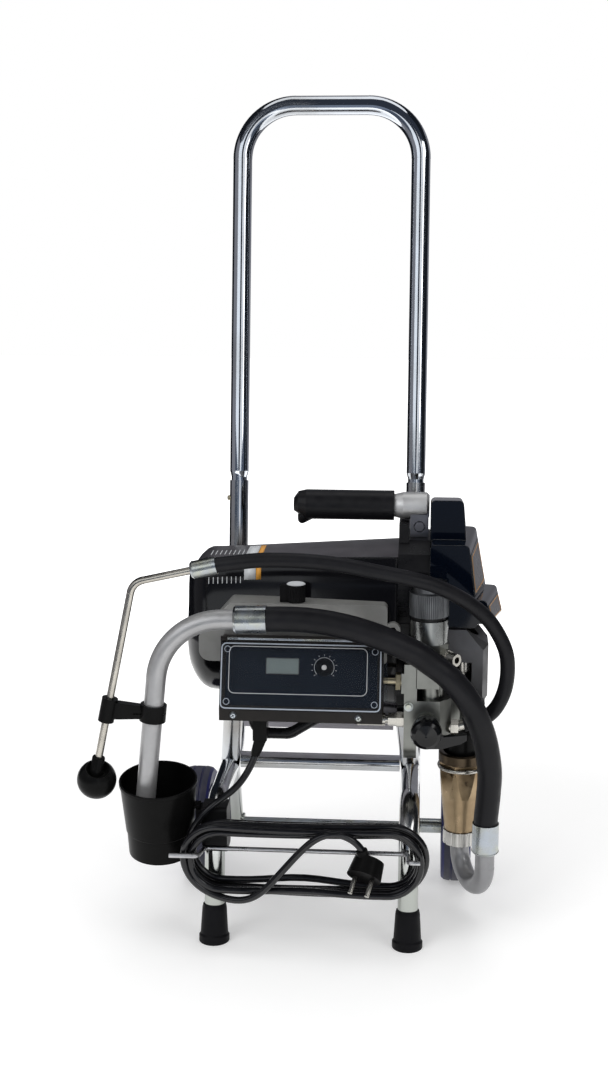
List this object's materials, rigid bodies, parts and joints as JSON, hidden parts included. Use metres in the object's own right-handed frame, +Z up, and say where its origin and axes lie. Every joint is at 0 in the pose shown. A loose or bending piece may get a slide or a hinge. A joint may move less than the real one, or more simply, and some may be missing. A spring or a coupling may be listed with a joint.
{
  "type": "airless paint sprayer",
  "caption": "Electric airless paint sprayer on an upright two-wheel cart with pull-up handle, side pump, filter, suction and drain hoses, drip cup and hooked cord.",
  "frame": {"origin": "on the floor under the middle of the sprayer's box, measured without its hoses and lead", "axes": "+X towards the pump side, -Y towards the front with the control panel, +Z up"},
  "size_m": [0.4676, 0.4072, 0.903],
  "materials": {
    "frame_tube": "polished",
    "zinc": "zinc plated",
    "plate": "satin",
    "rubber": "matt",
    "tyre": "matt",
    "hub": "satin",
    "gloss_black": "gloss",
    "matt_black": "satin",
    "grey_cast": "die cast",
    "dark_cast": "satin",
    "alu_tube": "satin",
    "gold": "anodised",
    "nickel": "nickel plated",
    "clear": "clear",
    "brass": "plain",
    "motor": "painted",
    "mesh": "woven",
    "trim": "satin"
  },
  "bodies": {
    "frame": {"side_tube_left": "frame_tube", "side_tube_right": "frame_tube", "cross_bars": "frame_tube", "axle": "zinc", "axle_caps": "matt_black", "cord_hook": "zinc", "base_plate": "plate", "feet": "rubber", "motor_cover": "gloss_black", "motor_can": "motor", "drive_housing": "dark_cast", "front_cover": "gloss_black", "side_panel": "trim", "fasteners": "zinc", "pump_mount": "grey_cast", "pump_cylinder": "matt_black", "pump_nuts": "nickel", "intake_housing": "gold", "suction_elbow": "alu_tube", "suction_hose": "rubber", "hose_ferrules": "zinc", "suction_tube": "alu_tube", "strainer": "matt_black", "fluid_fittings": "nickel", "drain_hose": "rubber", "drain_tube": "alu_tube", "diffuser": "matt_black", "tube_clip": "matt_black", "cup_hanger": "matt_black", "manifold": "grey_cast", "filter_bowl": "nickel", "filter_element": "mesh", "transducer": "nickel", "outlet_nipple": "nickel", "prime_valve": "dark_cast", "control_box": "matt_black", "control_panel": "matt_black", "control_housing": "grey_cast", "carry_bracket": "grey_cast", "carry_grip": "rubber", "pressure_hose": "rubber", "mains_inlet": "matt_black", "mains_lead": "rubber", "mains_loops": "rubber", "mains_plug": "matt_black"},
    "wheel_left": {"tyre_left": "tyre", "hub_left": "hub"},
    "wheel_right": {"tyre_right": "tyre", "hub_right": "hub"},
    "handle": {"pull_handle": "frame_tube", "snap_springs": "brass"},
    "rotor": {"motor_rotor": "zinc"},
    "rod": {"displacement_rod": "zinc"},
    "cap_seal": {"filter_seal": "rubber"},
    "cap": {"filter_cap": "dark_cast"},
    "prime": {"prime_handle": "matt_black"},
    "button": {"panel_button": "matt_black"},
    "cover": {"clear_cover": "clear"},
    "knob": {"pressure_knob": "matt_black"},
    "cup": {"drip_cup": "matt_black"}
  },
  "joints": [
    {"name": "wheel_left_spin", "type": "hinge", "parent": "frame", "child": "wheel_left", "pos_m": [-0.12201, 0.029, 0.0625], "axis": [1, 0, 0], "continuous": true},
    {"name": "wheel_right_spin", "type": "hinge", "parent": "frame", "child": "wheel_right", "pos_m": [0.18199, 0.029, 0.0625], "axis": [1, 0, 0], "continuous": true},
    {"name": "handle_slide", "type": "slide", "parent": "frame", "child": "handle", "axis": [0, 0.1668, 0.986], "range_m": [0, 0.09], "deforming": ["snap_springs"]},
    {"name": "rotor_spin", "type": "hinge", "parent": "frame", "child": "rotor", "pos_m": [0.02399, -0.005, 0.318], "axis": [1, 0, 0], "continuous": true},
    {"name": "rod_stroke", "type": "slide", "parent": "frame", "child": "rod", "axis": [0, 0, 1], "range_m": [0, 0.024]},
    {"name": "cap_lift", "type": "slide", "parent": "frame", "child": "cap_seal", "axis": [0, 0, 1], "range_m": [0, 0.004]},
    {"name": "cap_turn", "type": "hinge", "parent": "cap_seal", "child": "cap", "pos_m": [0.14599, -0.105, 0.357], "axis": [0, 0, 1], "range_deg": [0, 720]},
    {"name": "prime_turn", "type": "hinge", "parent": "frame", "child": "prime", "pos_m": [0.14499, -0.15, 0.241], "axis": [0, 1, 0], "range_deg": [0, 90]},
    {"name": "button_push", "type": "slide", "parent": "frame", "child": "button", "axis": [0, 0.9445, -0.3285], "range_m": [0, 0.0015], "stiffness_N_per_m": 300, "springref_m": -0.003},
    {"name": "cover_hinge", "type": "hinge", "parent": "frame", "child": "cover", "pos_m": [0.01299, -0.12928, 0.33273], "axis": [-1, 0, 0], "range_deg": [0, 45]},
    {"name": "knob_turn", "type": "hinge", "parent": "frame", "child": "knob", "pos_m": [0.00399, -0.093, 0.365], "axis": [0, 0, 1], "range_deg": [-135, 135]},
    {"name": "cup_lift", "type": "slide", "parent": "frame", "child": "cup", "axis": [0, -0.1392, 0.9903], "range_m": [0, 0.02]}
  ],
  "couplings": [
    {"joint": "cap_turn", "follows": "cap_lift", "rad_per_m": 3141.6}
  ]
}
